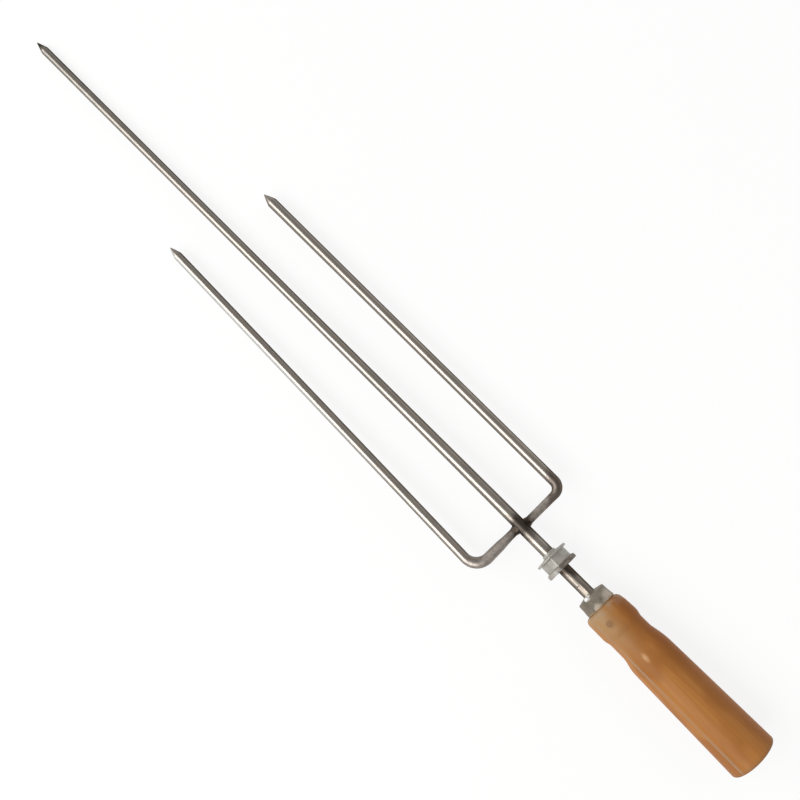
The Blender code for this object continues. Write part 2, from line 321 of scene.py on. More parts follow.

# %% [markdown]
# ## Polished steel
# The rods are stainless, polished along their length, and have been over a fire many times. The warm grey
# darkens toward the far point. Painted shade darkens the flanks, most of all the right one, and leaves the
# top bright. Two attributes that every rod carries say where a spot is. "along" holds the distance along the
# rod and the two ways across it. "facing" says which way the rod's round looks there: Y is to the right of
# its run, and Z is the top.

# %% Colour the bare steel
STEEL_NEAR = (0.54, 0.485, 0.425, 1)
STEEL_FAR = (0.34, 0.312, 0.285, 1)
STEEL_SMUDGED = (0.43, 0.39, 0.345, 1)
ARM_DULL = (0.34, 0.305, 0.27, 1)
ARM_BRIGHT = (0.46, 0.41, 0.365, 1)


def arm_mask(tree, split):
    """1 on the two arms, and 0 on the shaft and along the tines."""
    sideways = calc(tree, "ABSOLUTE", minus(tree, split["X"], CROSSING))
    outward = calc(tree, "ABSOLUTE", split["Y"])
    near_arms = step(tree, sideways, 15.0 * MM, 6.0 * MM)
    return times(tree, near_arms, step(tree, outward, 5.0 * MM, 8.0 * MM))


def bare_steel(tree, place, split, smudge, on_arm):
    """Warm steel that darkens toward the far point, with smudges, and mottled on the arms."""
    to_tip = step(tree, split["X"], CROSSING, shaft_high.x)
    colour = blend(tree, to_tip, STEEL_NEAR, STEEL_FAR)
    colour = blend(tree, step(tree, smudge, 0.35, 0.7), colour, STEEL_SMUDGED)
    mottle = step(tree, spots(tree, place, 300.0, detail=4.0), 0.38, 0.62)
    return blend(tree, on_arm, colour, blend(tree, mottle, ARM_DULL, ARM_BRIGHT))


print("steel from", STEEL_NEAR[:3], "at the arms to", STEEL_FAR[:3], "at the point")

# %% [markdown]
# The painted flank shade is a mask made of shares. Each share is a soft step on one number, and multiplying
# by what another share leaves of 1 takes the shade away there: below the rod, on the arms, on the left flank.
# The long tine's left flank loses nearly all of it toward the point, and a painted bright reflection takes
# its place there.

# %% Lay the painted flank shade
# Painted shade for the rods' flanks, and a painted bright reflection for the long tine's left flank.
FLANK_SHADE_TINT = (0.27, 0.262, 0.25, 1)
FLANK_GLARE = (0.74, 0.73, 0.70, 1)


def flank_glare_mask(tree, split, faces):
    """A share of painted bright reflection that grows on a rod's left flank, from the arms toward the point.
    """
    left = step(tree, faces["Y"], -0.2, -0.7)
    return times(tree, left, step(tree, split["X"], CROSSING + 20.0 * MM, CROSSING + 250.0 * MM))


def flank_shade_mask(tree, faces, on_arm, to_point):
    """How deep the painted flank shade lies: not on top, and thin on the arms and on the left flank."""
    flank_shade = step(tree, faces["Z"], 0.86, 0.60)
    below = step(tree, faces["Z"], 0.0, -0.5)
    flank_shade = times(tree, flank_shade, rest_of(tree, times(tree, below, 0.5)))
    flank_shade = times(tree, flank_shade, rest_of(tree, times(tree, on_arm, 0.65)))
    left_thin = plus(tree, times(tree, to_point, 0.5), 0.4)
    left_thin = times(tree, step(tree, faces["Y"], 0.4, -0.2), left_thin)
    right_thin = times(tree, step(tree, faces["Y"], -0.2, 0.4), 0.1)
    return times(tree, flank_shade, rest_of(tree, plus(tree, left_thin, right_thin)))


print("the film tints the steel by", FLANK_SHADE_TINT[:3])

# %% [markdown]
# Round the welds the heat left a brown to black stain, which is a step on the distance from the crossing.
# Noise added to the distance makes its edge uneven. Painted shade darkens the shaft on both sides of the
# spool, where the spool's shaded faces show in the polished rod. The stub behind it is duller, and the
# long point is burnt.

# %% Stain the steel
STAIN_CORE = 10.0 * MM
STAIN_EDGE = 19.5 * MM
STAIN_RAGGED = 9.0 * MM
BURNT_POINT = 16.0 * MM
WELD_STAIN = (0.055, 0.043, 0.034, 1)
# Painted shade for the shaft on both sides of the spool.
SPOOL_SHADE = (0.085, 0.06, 0.043, 1)
STUB_TINT = (0.70, 0.68, 0.66, 1)
POINT_STAIN = (0.06, 0.048, 0.04, 1)


def spool_shade_mask(tree, split, uneven, behind):
    """Painted shade on the shaft behind the spool, and a little less of it in front."""
    reach = plus(tree, plus(tree, behind, uneven), split["Y"])
    rear = times(tree, step(tree, reach, 20.0 * MM, 13.0 * MM), step(tree, behind, 0.0, 5.0 * MM))
    reach = plus(tree, minus(tree, uneven, behind), split["Y"])
    front = times(tree, step(tree, reach, 15.0 * MM, 8.0 * MM), step(tree, behind, 0.0, -5.0 * MM))
    return calc(tree, "MAXIMUM", rear, times(tree, front, 0.8))


def stain_steel(tree, place, split, colour):
    """The stained colour, with the masks of the weld stain and of the stub behind the spool."""
    uneven = times(tree, spots(tree, place, 260.0), STAIN_RAGGED)
    away = distance_to(tree, place, (CROSSING, 0.0, 0.0))
    stain = step(tree, plus(tree, uneven, away), STAIN_EDGE, STAIN_CORE)
    colour = blend(tree, times(tree, stain, 0.92), colour, WELD_STAIN)
    behind = minus(tree, SPOOL_STATION, split["X"])
    # Painted shade where the spool's shaded faces show in the polished shaft.
    spool_shade = spool_shade_mask(tree, split, uneven, behind)
    colour = blend(tree, times(tree, spool_shade, 0.85), colour, SPOOL_SHADE)
    stub = step(tree, behind, 3.0 * MM, 8.0 * MM)
    colour = blend(tree, stub, colour, tinted(tree, colour, STUB_TINT))
    burnt = step(tree, split["X"], shaft_high.x - BURNT_POINT, shaft_high.x - 0.3 * BURNT_POINT)
    return blend(tree, times(tree, burnt, 0.85), colour, POINT_STAIN), stain, stub


stain_reach = STAIN_EDGE - STAIN_RAGGED / 2
print(f"stain to {stain_reach / MM:.0f} mm from the crossing, point burnt over {BURNT_POINT / MM:.0f} mm")

# %% [markdown]
# The layers go on in this order: bare steel, painted flank shade, stains. The same masks roughen the
# polish. The polishing lines are thin noise that reads "along", so that they follow a rod round its bend.

# %% Put the steel together
def make_steel(name, flank_glare=False):
    """Polished rod steel with painted shade on its flanks. The second argument gives the left flank toward
    the point a painted bright reflection.
    """
    material, tree, shader, place, split = new_finish(
        name, Metallic=1.0, Specular_Tint=(0.2, 0.2, 0.2, 1)
    )
    rod = add(tree, "Attribute", attribute_name="along").outputs["Vector"]
    facing = add(tree, "Attribute", attribute_name="facing").outputs["Vector"]
    faces = add(tree, "SeparateXYZ", {0: facing}).outputs
    smudge = spots(tree, place, 55.0)
    on_arm = arm_mask(tree, split)
    to_point = step(tree, split["X"], CROSSING, shaft_high.x - 100.0 * MM)
    colour = bare_steel(tree, place, split, smudge, on_arm)
    # Painted shade darkens the flanks.
    flank_shade = flank_shade_mask(tree, faces, on_arm, to_point)
    if flank_glare:
        # Painted bright reflection on the long tine's left flank, in place of the painted shade.
        glare = flank_glare_mask(tree, split, faces)
        flank_shade = times(tree, flank_shade, rest_of(tree, glare))
        colour = blend(tree, glare, colour, FLANK_GLARE)
    colour = blend(tree, flank_shade, colour, tinted(tree, colour, FLANK_SHADE_TINT))
    colour, stain, stub = stain_steel(tree, place, split, colour)
    rough = plus(tree, times(tree, smudge, 0.12), 0.24)
    for mask, extra in ((to_point, 0.05), (stub, 0.08), (stain, 0.18), (on_arm, 0.14)):
        rough = plus(tree, rough, times(tree, mask, extra))
    lines = spots(tree, rod, 1500.0, (0.01, 1, 1), 2.0)
    feed(tree, shader, Base_Color=colour, Roughness=rough, Normal=bumps(tree, lines, 0.01 * MM, 0.05))
    return material


rod_steel = make_steel("rod_steel")
glare_steel = make_steel("bright_flank_steel", flank_glare=True)
print("rod finishes:", rod_steel.name, glare_steel.name)

# %% [markdown]
# ## Weld metal and the pin
# The weld metal is the same steel burnt nearly black, with some straw and blue left in it. The pin is a wire
# nail, brown with rust and old lacquer. The small drop on the ferrule is painted near-white, as a glint.

# %% Make the small metals
WELD_BLACK = (0.045, 0.035, 0.028, 1)
WELD_STRAW = (0.085, 0.066, 0.05, 1)
WELD_BLUE = (0.07, 0.07, 0.085, 1)
PIN_BROWN = (0.25, 0.13, 0.055, 1)
PIN_RUST = (0.30, 0.165, 0.072, 1)
# Painted glint: the near-white colours of the small drop on the ferrule.
GLINT_WHITE = (0.90, 0.89, 0.87, 1)
GLINT_GREY = (0.70, 0.68, 0.64, 1)


def make_burnt_steel():
    material, tree, shader, place, _ = new_finish("burnt_weld", Metallic=1.0)
    hue = spots(tree, place, 420.0, detail=2.0)
    colour = blend(tree, step(tree, hue, 0.4, 0.62), WELD_BLACK, WELD_STRAW)
    colour = blend(tree, step(tree, hue, 0.66, 0.78), colour, WELD_BLUE)
    rough = plus(tree, times(tree, spots(tree, place, 900.0), 0.3), 0.28)
    grain = bumps(tree, spots(tree, place, 1800.0, detail=2.0), 0.08 * MM, 0.6)
    feed(tree, shader, Base_Color=colour, Roughness=rough, Normal=grain)
    return material


def make_pin_steel():
    material, tree, shader, place, _ = new_finish("old_pin", Metallic=0.0, Specular_IOR_Level=0.2)
    rust = step(tree, spots(tree, place, 1200.0), 0.4, 0.65)
    rough = plus(tree, times(tree, rust, 0.25), 0.4)
    grain = bumps(tree, spots(tree, place, 2500.0), 0.05 * MM, 0.5)
    feed(tree, shader, Base_Color=blend(tree, rust, PIN_BROWN, PIN_RUST), Roughness=rough, Normal=grain)
    return material


def make_glint_metal():
    # A near-white metal that stands in for a glint.
    material, tree, shader, place, _ = new_finish("bright_solder", Metallic=0.45)
    dull = spots(tree, place, 700.0)
    colour = blend(tree, dull, GLINT_WHITE, GLINT_GREY)
    rough = plus(tree, times(tree, dull, 0.2), 0.2)
    feed(tree, shader, Base_Color=colour, Roughness=rough, Normal=bumps(tree, dull, 0.05 * MM, 0.3))
    return material


burnt_steel, pin_steel, glint_metal = make_burnt_steel(), make_pin_steel(), make_glint_metal()
print("small metals:", burnt_steel.name, pin_steel.name, glint_metal.name)

# %% [markdown]
# ## Cast metal
# The two castings came out of a sand mould: light grey, never polished, full of small pits. A rough metal
# answers the soft light with a soft grey. One recipe makes both, and a second function adds the marks that
# only this casting has, some of them painted light and shade.

# %% Mark the castings
PARTING_LEAN = radians(8)
# Painted shade for the corner of the spool's rear flange, and a painted highlight for its parting line.
SPOOL_CORNER_SHADE = (0.115, 0.09, 0.068, 1)
PARTING_HIGHLIGHT = (0.60, 0.56, 0.50, 1)
SHADED_TINT = (0.74, 0.72, 0.70, 1)
SOOT = (0.13, 0.115, 0.095, 1)
# Painted light: the pale patches on the ferrule's rounded rear shoulder.
SHOULDER_SHEEN = (0.52, 0.46, 0.38, 1)
OLD_LACQUER = (0.35, 0.225, 0.115, 1)
# (station in front of the rear rim, place across, height, size) of each patch of painted light
SHEEN_PATCHES = (
    (2.6 * MM, -7.6 * MM, 7.2 * MM, 4.2 * MM),
    (0.8 * MM, 1.8 * MM, 10.6 * MM, 2.6 * MM),
    (0.6 * MM, -3.5 * MM, 10.2 * MM, 1.2 * MM),
)


def spool_marks(tree, place, split, colour):
    """Painted shade in the corner of the rear flange, on its shaded side, and the parting line on the hub lit
    up with a painted highlight.
    """
    # Painted shade in the rear flange's corner, on the side away from the softbox.
    corner = step(tree, split["X"], SPOOL_STATION - 2.4 * MM, SPOOL_STATION - 3.4 * MM)
    corner = times(tree, corner, step(tree, split["Y"], 6.0 * MM, 0.0))
    corner = times(tree, corner, step(tree, spots(tree, place, 330.0), 0.1, 0.5))
    colour = blend(tree, times(tree, corner, 0.9), colour, SPOOL_CORNER_SHADE)
    # Painted highlight along the parting line on the hub, over its low ridge.
    angle = calc(tree, "ARCTAN2", split["Y"], split["Z"])
    off_line = calc(tree, "ABSOLUTE", minus(tree, angle, PARTING_LEAN))
    off_middle = calc(tree, "ABSOLUTE", minus(tree, split["X"], SPOOL_STATION))
    highlight_line = step(tree, off_line, radians(3.2), radians(1.0))
    highlight_line = times(tree, highlight_line, step(tree, off_middle, 3.6 * MM, 3.2 * MM))
    return blend(tree, highlight_line, colour, PARTING_HIGHLIGHT)


def ferrule_marks(tree, place, split, colour):
    """Dark soot in patches, pale patches of painted light on the rear shoulder, and lacquer that ran over the
    rim from the grip.
    """
    left_side = step(tree, split["Y"], -2.0 * MM, 6.0 * MM)
    colour = blend(tree, left_side, colour, tinted(tree, colour, SHADED_TINT))
    soot = step(tree, spots(tree, place, 240.0), 0.5, 0.72)
    colour = blend(tree, times(tree, soot, 0.6), colour, SOOT)
    ragged = times(tree, spots(tree, place, 400.0), 4.0 * MM)
    # Pale patches of painted light on the rear shoulder.
    for station, sideways, height, size in SHEEN_PATCHES:
        away = distance_to(tree, place, (ferrule_low.x + station, sideways, height))
        sheen_patch = step(tree, plus(tree, away, ragged), size + 3.6 * MM, size - 0.2 * MM)
        colour = blend(tree, times(tree, sheen_patch, 0.7), colour, SHOULDER_SHEEN)
    uneven = times(tree, spots(tree, place, 330.0), 6.0 * MM)
    from_rear = plus(tree, uneven, split["X"])
    overrun = step(tree, from_rear, ferrule_low.x + 4.4 * MM, ferrule_low.x + 3.2 * MM)
    return blend(tree, times(tree, overrun, 0.75), colour, OLD_LACQUER)


print("parting line", round(degrees(PARTING_LEAN)), "degrees from the top,", len(SHEEN_PATCHES), "sheen_patches")

# %% Make the cast metal
SPOOL_LIGHT, SPOOL_DARK = (0.40, 0.38, 0.345, 1), (0.32, 0.30, 0.265, 1)
FERRULE_LIGHT, FERRULE_DARK = (0.25, 0.215, 0.165, 1), (0.17, 0.145, 0.107, 1)


def make_cast(name, light, dark, marks):
    """Cast aluminium. marks adds what is on this casting alone."""
    material, tree, shader, place, split = new_finish(name, Metallic=0.4)
    tone = spots(tree, place, 150.0)
    colour = blend(tree, step(tree, tone, 0.38, 0.64), light, dark)
    colour = marks(tree, place, split, colour)
    pits = add(tree, "TexVoronoi", {"Vector": place, "Scale": 900.0}).outputs["Distance"]
    grain = bumps(tree, spots(tree, place, 1500.0, detail=4.0), 0.10 * MM, 0.55)
    grain = bumps(tree, step(tree, pits, 0.0, 0.3), 0.06 * MM, 0.4, grain)
    rough = plus(tree, times(tree, tone, 0.25), 0.4)
    feed(tree, shader, Base_Color=colour, Roughness=rough, Normal=grain)
    return material


spool_metal = make_cast("spool_cast", SPOOL_LIGHT, SPOOL_DARK, spool_marks)
ferrule_metal = make_cast("ferrule_cast", FERRULE_LIGHT, FERRULE_DARK, ferrule_marks)
print("cast metals:", spool_metal.name, ferrule_metal.name)

# %% [markdown]
# ## Lacquered wood
# The grip was turned from a pale board, so the year rings of the tree run through it as long, gently bent
# sheets. Rings about a heart line outside the grip give long bands on its sides, arches where the turning
# cuts through them, and arcs on the butt. Fine fibres and short pores lie on top.

# %% Grow the wood
HEART_LINE = (0.0, 31.0 * MM, 52.0 * MM)
RING_SHAPE = (1, 0.9, 1.0)
RING_WIDTH = 2.9 * MM
RING_DRIFT = 7.0 * MM
EARLY_WOOD = (0.395, 0.168, 0.042, 1)
LATE_WOOD = (0.32, 0.118, 0.026, 1)
FIBRE_TONE = (0.355, 0.14, 0.033, 1)
PORE_TONE = (0.24, 0.095, 0.024, 1)


def year_rings(tree, place):
    """1 in the dark late wood at the end of each year's ring."""
    heart = add(tree, "Mapping", {"Vector": place, "Location": HEART_LINE}).outputs[0]
    heart = add(tree, "VectorMath", {0: heart, 1: RING_SHAPE}, operation="MULTIPLY").outputs[0]
    across = add(tree, "SeparateXYZ", {0: heart}).outputs
    square = plus(tree, times(tree, across["Y"], across["Y"]), times(tree, across["Z"], across["Z"]))
    drift = spots(tree, place, 18.0, (0.35, 1, 1), 2.0)
    ring = plus(tree, calc(tree, "SQRT", square), times(tree, drift, RING_DRIFT))
    year = calc(tree, "FRACT", calc(tree, "DIVIDE", ring, RING_WIDTH))
    late = times(tree, step(tree, year, 0.45, 0.92), step(tree, year, 1.0, 0.93))
    return times(tree, late, step(tree, spots(tree, place, 40.0, (0.2, 1, 1)), 0.3, 0.7))


def raw_wood(tree, place, fibre):
    """Early and late wood, with fibres and short pores along the grip."""
    colour = blend(tree, year_rings(tree, place), EARLY_WOOD, LATE_WOOD)
    colour = blend(tree, step(tree, fibre, 0.35, 0.7), colour, FIBRE_TONE)
    pore = step(tree, spots(tree, place, 1500.0, (0.03, 1, 1), 1.0), 0.70, 0.78)
    return blend(tree, times(tree, pore, 0.45), colour, PORE_TONE)


print(f"year rings {RING_WIDTH / MM:.1f} mm wide")

# %% [markdown]
# Painted light pales the left of the head, the side toward the softbox. On the right, painted shade darkens
# the grip, and lacquer that ran together lies thick and orange there from the shoulder forward. Slow noise
# gives the body darker patches.

# %% Tone the wood under its lacquer
PALE_FROM = handle_high.x - 52.0 * MM
PALE_FULLY = handle_high.x - 8.0 * MM
PATCH_TONE = (0.29, 0.104, 0.022, 1)
# Painted light on the left of the head; painted shade with thick lacquer on the right.
HEAD_PAINTED_LIGHT = (0.365, 0.212, 0.092, 1)
LACQUER_AND_SHADE = (0.255, 0.08, 0.009, 1)
WORN_JOINT = (0.33, 0.235, 0.145, 1)
DARK_RIM = (0.22, 0.12, 0.06, 1)


def lacquer_tones(tree, split, cloud, colour):
    """Dark patches, painted light on the left of the head, and painted shade with thick orange lacquer on the
    right.
    """
    # Painted light: the left of the head is paled.
    pale = step(tree, split["X"], PALE_FROM, PALE_FULLY)
    pale = times(tree, pale, step(tree, split["Y"], -8.0 * MM, 7.0 * MM))
    pale = times(tree, pale, step(tree, cloud, 0.3, 0.62))
    patch = times(tree, step(tree, cloud, 0.46, 0.62), 0.75)
    colour = blend(tree, patch, colour, PATCH_TONE)
    colour = blend(tree, pale, colour, HEAD_PAINTED_LIGHT)
    # Painted shade along the right side, deeper toward the head, where the lacquer also lies thick.
    right_side = step(tree, split["Y"], -1.0 * MM, -13.0 * MM)
    to_waist = step(tree, split["X"], handle_low.x + 48.0 * MM, handle_low.x + 74.0 * MM)
    shade_and_lacquer = times(tree, right_side, plus(tree, times(tree, to_waist, 0.7), 0.25))
    return blend(tree, shade_and_lacquer, colour, LACQUER_AND_SHADE)


def grip_ends(tree, place, split, colour):
    """Greyed wood beside the ferrule, and a darker rim round the butt."""
    joint = step(tree, split["X"], handle_high.x - 14.0 * MM, handle_high.x - 6.0 * MM)
    joint = times(tree, joint, step(tree, spots(tree, place, 200.0), 0.3, 0.7))
    colour = blend(tree, times(tree, joint, 0.75), colour, WORN_JOINT)
    rim = step(tree, split["X"], handle_low.x + 3.0 * MM, handle_low.x + 0.6 * MM)
    return blend(tree, times(tree, rim, 0.45), colour, DARK_RIM)


print(f"the head pales from {PALE_FROM / MM:.0f} to {PALE_FULLY / MM:.0f} mm")

# %% [markdown]
# Three marks are placed one by one. A grey line of painted reflection runs along the left, a brown halo of
# rust and soaked lacquer lies round the pin, and a small painted glint sits on the shoulder. Each is a soft
# step on a distance.

# %% Mark the wood
# Painted reflection: a grey line along the left of the grip.
REFLECTION_LINE_SIDE = 11.0 * MM
REFLECTION_LINE = (0.31, 0.225, 0.155, 1)
PIN_HALO = (0.235, 0.12, 0.047, 1)
HALO_PLACE = (handle_high.x - 16.0 * MM, 4.1 * MM, 13.5 * MM)
# Painted glint: a pale spot on the shoulder.
SHOULDER_GLINT = (0.60, 0.37, 0.18, 1)
SHOULDER_GLINT_SHAPE = (0.45, 1, 1)
SHOULDER_GLINT_PLACE = (-0.45 * (handle_low.x + 81.5 * MM), -3.4 * MM, -15.0 * MM)


def reflection_line(tree, split, cloud, colour):
    """A thin grey line of painted reflection along the left of the upper side, broken by the slow noise."""
    # Painted reflection of a light, drawn as a thin grey line.
    streak = calc(tree, "ABSOLUTE", minus(tree, split["Y"], REFLECTION_LINE_SIDE))
    streak = step(tree, streak, 0.95 * MM, 0.25 * MM)
    streak = times(tree, streak, step(tree, split["Z"], 0.0, 3.0 * MM))
    streak = times(tree, streak, step(tree, split["X"], handle_low.x + 0.2 * MM, handle_low.x + MM))
    streak = times(tree, streak, times(tree, step(tree, cloud, 0.25, 0.6), 0.7))
    return blend(tree, streak, colour, REFLECTION_LINE)


def pin_halo(tree, place, colour):
    """A brown halo with a ragged edge round the pin."""
    away = distance_to(tree, place, HALO_PLACE)
    away = plus(tree, away, times(tree, spots(tree, place, 500.0), 2.5 * MM))
    return blend(tree, times(tree, step(tree, away, 5.4 * MM, 2.2 * MM), 0.7), colour, PIN_HALO)


def shoulder_glint(tree, place, colour):
    """A painted glint: a pale spot, longer along the grip than across it."""
    sockets = {"Vector": place, "Location": SHOULDER_GLINT_PLACE, "Scale": SHOULDER_GLINT_SHAPE}
    away = add(tree, "Mapping", sockets).outputs[0]
    away = add(tree, "VectorMath", {0: away}, operation="LENGTH").outputs["Value"]
    return blend(tree, times(tree, step(tree, away, 2.4 * MM, 0.3 * MM), 0.65), colour, SHOULDER_GLINT)


print(f"hairline {REFLECTION_LINE_SIDE / MM:.0f} mm left of the axis, halo at {HALO_PLACE[0] / MM:.0f} mm")

# %% [markdown]
# The wood is put together from the inside out: the raw wood, its lacquer with painted light and shade, then
# the marks, among them a painted reflection and a painted glint, and the ends.
# The slow noise that darkens the body also varies its gloss, and raises it a little as a hand-sanded surface.

# %% Put the wood together
def make_wood():
    material, tree, shader, place, split = new_finish(
        "lacquered_wood", Coat_Weight=0.1, Coat_Roughness=0.3, Specular_IOR_Level=0.15
    )
    fibre = spots(tree, place, 900.0, (0.018, 1, 1))
    cloud = spots(tree, place, 45.0, (0.5, 1, 1), 2.0)
    colour = raw_wood(tree, place, fibre)
    colour = lacquer_tones(tree, split, cloud, colour)
    colour = reflection_line(tree, split, cloud, colour)
    colour = pin_halo(tree, place, colour)
    colour = shoulder_glint(tree, place, colour)
    colour = grip_ends(tree, place, split, colour)
    rough = plus(tree, times(tree, cloud, 0.2), 0.42)
    grain = bumps(tree, fibre, 0.05 * MM, 0.35)
    grain = bumps(tree, cloud, 0.5 * MM, 0.25, grain)
    feed(tree, shader, Base_Color=colour, Roughness=rough, Normal=grain)
    return material


wood = make_wood()
print("wood nodes:", len(wood.node_tree.nodes))

# %% [markdown]
# ## Shaping helpers
# Two ways of making cover the fork. Turned pieces start as half of their outline: a few points, sharp
# corners rounded by a vertex bevel, and then spun about the X axis. Bent rods are rings of edges set along a
# path and bridged. Both end in the same way: doubles merged, normals recalculated, flat ends kept sharp.

# %% Turn a piece
SIDES = 96
CORNER_SEGMENTS = 6
MERGE = 1e-6
SHARP_ANGLE = radians(38)


def draw(outline, closed):
    """Wire of (station, radius) corners above the X axis. A third number rounds that corner."""
    bm = bmesh.new()
    corners = [bm.verts.new((point[0], 0.0, point[1])) for point in outline]
    for first, second in zip(corners, corners[1:]):
        bm.edges.new((first, second))
    if closed:
        bm.edges.new((corners[-1], corners[0]))
    for corner, point in zip(corners, outline):
        if len(point) == 3:
            bmesh.ops.bevel(
                bm, geom=[corner], offset=point[2], offset_type="OFFSET", segments=CORNER_SEGMENTS,
                profile=0.5, affect="VERTICES", material=-1,
            )
    return bm


def turned(outline, closed=False, sides=SIDES, start=0.0):
    """Spins an outline about the X axis, from an angle that leans from +Z toward +Y."""
    bm = draw(outline, closed)
    bmesh.ops.rotate(bm, verts=bm.verts[:], cent=(0, 0, 0), matrix=Matrix.Rotation(-start, 3, "X"))
    bmesh.ops.spin(
        bm, geom=bm.verts[:] + bm.edges[:], cent=(0, 0, 0), axis=(1, 0, 0), angle=2 * pi,
        steps=sides, use_merge=True,
    )
    return bm


# %% Set rings, and read and change the radius of a corner
def ring_at(bm, place, across, height, sides, cap=False):
    """One ring of edges at a placement, as wide as 2 * across and as high as 2 * height."""
    shape = place @ Matrix.Diagonal((across, height, 1.0, 1.0))
    made = bmesh.ops.create_circle(bm, segments=sides, radius=1.0, cap_ends=cap, matrix=shape)
    return made["verts"]


def ring_edges(ring):
    members = set(ring)
    return [e for e in {e for v in ring for e in v.link_edges} if set(e.verts) <= members]


def polar(v):
    """A corner's distance from the X axis, and its angle from the top toward the left."""
    return Vector((0.0, v.co.y, v.co.z)).length, atan2(v.co.y, v.co.z)


def grow(v, factor):
    v.co.y *= factor
    v.co.z *= factor


# %% Finish a piece
def make_piece(name, bm, finish, body, node=None):
    """Closes the mesh and makes it the piece that stands for a CAD node and rides on its body."""
    bmesh.ops.remove_doubles(bm, verts=bm.verts[:], dist=MERGE)
    bmesh.ops.recalc_face_normals(bm, faces=bm.faces[:])
    open_edges = sum(1 for e in bm.edges if len(e.link_faces) != 2)
    mesh = bpy.data.meshes.new(name)
    bm.to_mesh(mesh)
    bm.free()
    mesh.shade_smooth()
    mesh.set_sharp_from_angle(angle=SHARP_ANGLE)
    mesh.materials.append(finish)
    piece = bpy.data.objects.new(name, mesh)
    bpy.context.scene.collection.objects.link(piece)
    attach(piece, body)
    if node:
        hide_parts(node)
    print(f"{name}: {len(mesh.polygons)} faces, {open_edges} open edges, rides on {body}")
    return piece


def rod_layers(bm):
    """The two attributes of a rod, "along" and "facing", made before any corner is kept by name."""
    layers = bm.verts.layers.float_vector
    layers.new("along")
    layers.new("facing")
    return layers["along"], layers["facing"]


# %% [markdown]
# ## Shaft
# One rod runs from the tang inside the grip to the long middle point. It could be a plain cylinder, but the
# ground point has a slightly convex flank, the spool's rib needs its groove, and a small flat was filed on
# the left where the rod enters the ferrule. The point and groove are in the outline, and the flat is made
# by pushing the corners that stand above it back onto its plane.

# %% Make the shaft
SHAFT_SIDES = 72
TAPER_START = 20.0 * MM
TAPER_LENGTH = 220.0 * MM
POINT_TIP = 0.4 * MM
POINT_BULGE = 0.56
TANG_CHAMFER = 1.2 * MM
GROOVE_HALF = 2.5 * MM
GROOVE_DEPTH = 1.0 * MM
FLAT_FRONT = 7.5 * MM
FLAT_DEPTH = 0.5 * MM
FLAT_LEAN = radians(27)


def shaft_outline(flat_front):
    """Half the shaft's outline, from the tang to the tip."""
    tip, tang, radius, front = shaft_high.x, shaft_low.x, SHAFT_RADIUS, SHAFT_FRONT_RADIUS
    groove_rear, groove_front = SPOOL_STATION - GROOVE_HALF, SPOOL_STATION + GROOVE_HALF
    groove = radius - GROOVE_DEPTH
    taper_start = LEFT_ARM + TAPER_START
    return [
        (tang, 0.0), (tang, radius - TANG_CHAMFER), (tang + TANG_CHAMFER, radius),
        (ferrule_high.x - 1.0 * MM, radius), (flat_front, radius), (flat_front + 0.5 * MM, radius),
        (groove_rear, radius), (groove_rear, groove), (groove_front, groove), (groove_front, radius),
        (taper_start, radius), (taper_start + TAPER_LENGTH, front),
        (tip - POINT_LENGTH - 1.0 * MM, front), (tip - POINT_LENGTH, front, 0.7 * MM),
        (tip - 0.5 * POINT_LENGTH, POINT_BULGE * front), (tip, POINT_TIP, 0.3 * MM), (tip, 0.0),
    ]


def file_flat(bm, flat_front):
    """Pushes what stands above the flat back onto its plane, from the ferrule to flat_front."""
    normal = Vector((0.0, sin(FLAT_LEAN), cos(FLAT_LEAN)))
    for v in bm.verts:
        if ferrule_low.x < v.co.x < flat_front + 0.1 * MM:
            over = v.co.dot(normal) - (SHAFT_RADIUS - FLAT_DEPTH)
            v.co -= normal * max(over, 0.0)


def make_shaft():
    flat_front = ferrule_high.x + FLAT_FRONT
    bm = turned(shaft_outline(flat_front), sides=SHAFT_SIDES)
    file_flat(bm, flat_front)
    bmesh.ops.remove_doubles(bm, verts=bm.verts[:], dist=MERGE)
    along, facing = rod_layers(bm)
    for v in bm.verts:
        outward = Vector((0.0, -v.co.y, v.co.z))
        v[along] = v.co
        v[facing] = outward.normalized() if outward.length > 0 else outward
    return make_piece("shaft_rod", bm, rod_steel, "fork", "shaft")


make_shaft()

# %% [markdown]
# ## Side tines
# Each side tine is a thinner rod bent to an L. Its arm was drawn a little thinner than the tine. The left one
# was bent over a wide former, which spread the rod in the bend, and the right one is thicker at its end. The
# path has three corners, all read from the frame: the root at the shaft, the corner where arm and tine would
# meet, and the point. The corner is replaced by an arc.

# %% Read a tine's path from the frame
BEND_STEPS = 16


def near(node, station, reach):
    """The middle of a CAD node's corners near a station along the fork."""
    found = corners_near(node, station, reach)
    return sum(found, Vector()) / len(found)


def tine_corners(node, arm, side, point_length):
    """Root, corner and tip of a tine's centre line."""
    low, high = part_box(node)
    root_reach = low.y if side > 0 else -high.y
    tip = near(node, high.x, 0.1 * MM)
    shoulder = near(node, high.x - point_length, 1.0 * MM)
    heading = (tip - shoulder).normalized()
    corner = tip + heading * ((arm - tip.x) / heading.x)
    return Vector((arm, side * root_reach, 0.0)), corner, tip


def bent_path(root, corner, tip, bend):
    """Place, heading and distance from the root at each step through the bend."""
    first, second = (corner - root).normalized(), (tip - corner).normalized()
    turn = first.angle(second)
    tangent = bend * tan(turn / 2)
    inward = (second - first * first.dot(second)).normalized()
    centre = corner - first * tangent + inward * bend
    stations = []
    for number in range(BEND_STEPS + 1):
        part = turn * number / BEND_STEPS
        point = centre - inward * bend * cos(part) + first * bend * sin(part)
        heading = first * cos(part) + inward * sin(part)
        travelled = (corner - root).length - tangent + bend * part
        stations.append((point, heading, travelled))
    return stations


print("bends are made in", BEND_STEPS, "steps")

